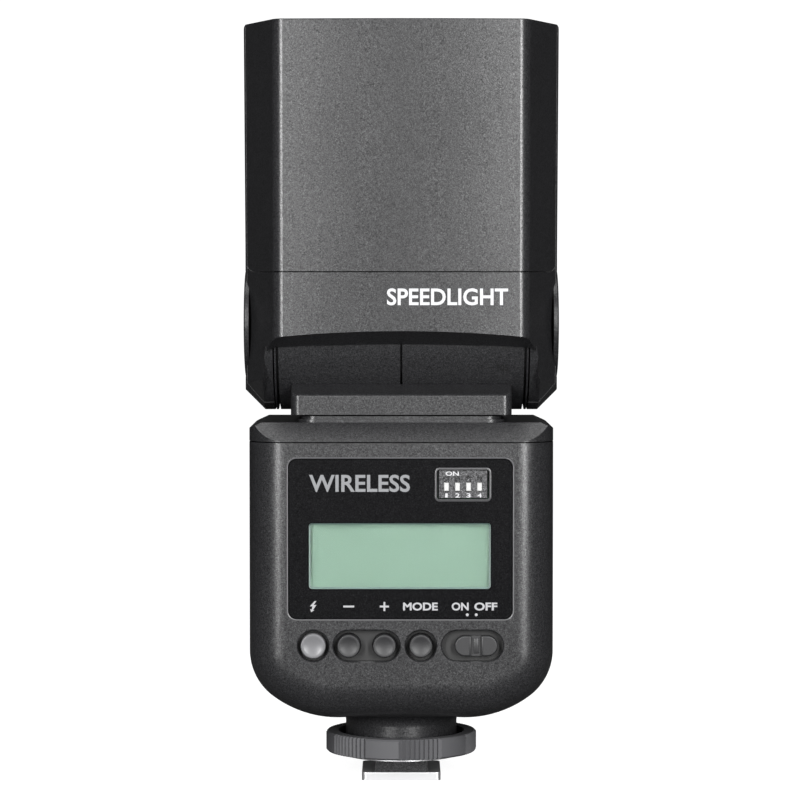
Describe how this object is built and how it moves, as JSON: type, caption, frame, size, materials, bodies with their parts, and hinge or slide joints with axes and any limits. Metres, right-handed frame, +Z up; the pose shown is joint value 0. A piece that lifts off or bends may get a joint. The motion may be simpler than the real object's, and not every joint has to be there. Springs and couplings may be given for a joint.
{
  "type": "speedlight flash",
  "caption": "Shoe-mount camera flash with a tilting and swivelling head, a display panel with push buttons, a battery door and a locking shoe foot.",
  "frame": {"origin": "centre of the shoe foot's bottom face, where the flash rests in an accessory shoe", "axes": "+Z up along the flash with its head upright, +Y towards the subject, +X to the operator's right"},
  "size_m": [0.0742, 0.0536, 0.1779],
  "materials": {
    "body_plastic": "fine-grained dark grey moulded polycarbonate",
    "head_plastic": "fine-grained dark grey moulded polycarbonate",
    "overlay_black": "satin black printed overlay",
    "screen_clear": "clear acrylic window",
    "display_green": "pale grey-green reflective liquid crystal",
    "button_grey": "soft matt grey keypad rubber",
    "button_clear": "milky translucent button",
    "well_black": "matt black",
    "selector_black": "black moulded switch body",
    "selector_white": "white nylon slider",
    "foot_metal": "bright brushed plate",
    "screw_metal": "blackened steel",
    "contact_metal": "gold-flashed contact",
    "ring_plastic": "dark grey knurled ring",
    "pin_metal": "ground steel",
    "cap_rubber": "black rubber",
    "sensor_red": "deep red infrared window",
    "board_green": "solder-masked circuit board",
    "part_black": "black component",
    "cell_silver": "plain steel battery cell",
    "tray_plastic": "black moulded tray",
    "capacitor_sleeve": "dark plastic sleeve on an aluminium can",
    "transformer": "yellow tape over ferrite",
    "lens_clear": "clear acrylic prism lens",
    "reflector_metal": "bright anodised sheet",
    "tube_glass": "quartz flash tube",
    "card_white": "white card plastic",
    "panel_clear": "clear ribbed diffuser"
  },
  "bodies": {
    "body": {"body_rear_cover": "body_plastic", "body_front_cover": "body_plastic", "body_top_cap": "body_plastic", "body_screws": "screw_metal", "sensor_window": "sensor_red", "control_overlay": "overlay_black", "screen_window": "screen_clear", "display_module": "display_green", "keypad_plate": "well_black", "main_board": "board_green", "tact_switches": "part_black", "selector_block": "selector_black", "battery_tray": "tray_plastic", "battery_cells": "cell_silver", "tray_contacts": "contact_metal", "main_capacitor": "capacitor_sleeve", "charge_transformer": "transformer", "light_sensor": "part_black", "shoe_base": "body_plastic", "shoe_pedestal": "well_black", "shoe_foot": "foot_metal", "foot_screws": "screw_metal", "sync_jack": "part_black"},
    "contact_pin": {"centre_contact": "contact_metal"},
    "clamp": {"clamp_plate": "foot_metal"},
    "ring": {"lock_ring": "ring_plastic"},
    "door_slider": {"door_pin": "pin_metal"},
    "door": {"battery_door": "body_plastic", "door_contacts": "contact_metal"},
    "jack_flap": {"jack_cover": "cap_rubber"},
    "test_key": {"test_button": "button_clear"},
    "minus_key": {"minus_button": "button_grey"},
    "plus_key": {"plus_button": "button_grey"},
    "mode_key": {"mode_button": "button_grey"},
    "power_knob": {"power_switch": "button_grey"},
    "slider_1": {"selector_slider_1": "selector_white"},
    "slider_2": {"selector_slider_2": "selector_white"},
    "slider_3": {"selector_slider_3": "selector_white"},
    "slider_4": {"selector_slider_4": "selector_white"},
    "swivel": {"swivel_base": "head_plastic", "swivel_retainer": "tray_plastic", "drum_cover_left": "head_plastic", "drum_cover_right": "head_plastic", "tilt_axle": "pin_metal", "tilt_detents": "pin_metal"},
    "head": {"head_rear_panel": "head_plastic", "head_lower_cover": "head_plastic", "head_front_cover": "head_plastic", "head_screws": "screw_metal", "hinge_caps": "head_plastic", "lens_frame": "head_plastic", "flash_lens": "lens_clear", "reflector": "reflector_metal", "flash_tube": "tube_glass", "tube_holders": "part_black", "trigger_board": "board_green", "trigger_coil": "part_black", "card_guide": "tray_plastic"},
    "bounce_panel": {"bounce_card": "card_white"},
    "wide_diffuser": {"wide_panel": "panel_clear"}
  },
  "joints": [
    {"name": "head_swivel", "type": "hinge", "parent": "body", "child": "swivel", "pos_m": [0, 0, 0.0852], "axis": [0, 0, 1], "range_deg": [-90, 180]},
    {"name": "head_tilt", "type": "hinge", "parent": "swivel", "child": "head", "pos_m": [0, 0, 0.1078], "axis": [-1, 0, 0], "range_deg": [-15, 90]},
    {"name": "test_button_press", "type": "slide", "parent": "body", "child": "test_key", "axis": [0, 1, 0], "range_m": [0, 0.0007], "stiffness_N_per_m": 300, "springref_m": -0.002},
    {"name": "minus_button_press", "type": "slide", "parent": "body", "child": "minus_key", "axis": [0, 1, 0], "range_m": [0, 0.0007], "stiffness_N_per_m": 300, "springref_m": -0.002},
    {"name": "plus_button_press", "type": "slide", "parent": "body", "child": "plus_key", "axis": [0, 1, 0], "range_m": [0, 0.0007], "stiffness_N_per_m": 300, "springref_m": -0.002},
    {"name": "mode_button_press", "type": "slide", "parent": "body", "child": "mode_key", "axis": [0, 1, 0], "range_m": [0, 0.0007], "stiffness_N_per_m": 300, "springref_m": -0.002},
    {"name": "power_switch_slide", "type": "slide", "parent": "body", "child": "power_knob", "axis": [-1, 0, 0], "range_m": [0, 0.0021]},
    {"name": "selector_slider_1_slide", "type": "slide", "parent": "body", "child": "slider_1", "axis": [0, 0, 1], "range_m": [0, 0.0013]},
    {"name": "selector_slider_2_slide", "type": "slide", "parent": "body", "child": "slider_2", "axis": [0, 0, 1], "range_m": [0, 0.0013]},
    {"name": "selector_slider_3_slide", "type": "slide", "parent": "body", "child": "slider_3", "axis": [0, 0, 1], "range_m": [0, 0.0013]},
    {"name": "selector_slider_4_slide", "type": "slide", "parent": "body", "child": "slider_4", "axis": [0, 0, 1], "range_m": [0, 0.0013]},
    {"name": "clamp_plate_slide", "type": "slide", "parent": "body", "child": "clamp", "axis": [0, 0, -1], "range_m": [0, 0.0018]},
    {"name": "lock_ring_turn", "type": "hinge", "parent": "clamp", "child": "ring", "pos_m": [0, 0, 0.0085], "axis": [0, 0, 1], "range_deg": [0, 432]},
    {"name": "centre_contact_press", "type": "slide", "parent": "body", "child": "contact_pin", "axis": [0, 0, 1], "range_m": [0, 0.0005], "stiffness_N_per_m": 200, "springref_m": -0.001},
    {"name": "battery_door_slide", "type": "slide", "parent": "body", "child": "door_slider", "axis": [0, 0, -1], "range_m": [0, 0.0035]},
    {"name": "battery_door_hinge", "type": "hinge", "parent": "door_slider", "child": "door", "pos_m": [0.0286, 0.0065, 0.02285], "axis": [0, 1, 0], "range_deg": [0, 100]},
    {"name": "jack_cover_hinge", "type": "hinge", "parent": "body", "child": "jack_flap", "pos_m": [-0.03455, 0.003, 0.04065], "axis": [0, 1, 0], "range_deg": [0, 100]},
    {"name": "bounce_card_slide", "type": "slide", "parent": "head", "child": "bounce_panel", "axis": [0, 0, 1], "range_m": [0, 0.038]},
    {"name": "wide_panel_slide", "type": "slide", "parent": "head", "child": "wide_diffuser", "axis": [0, 0, 1], "range_m": [0, 0.038]}
  ],
  "couplings": [
    {"joint": "clamp_plate_slide", "follows": "lock_ring_turn", "m_per_rad": 0.00023873}
  ]
}
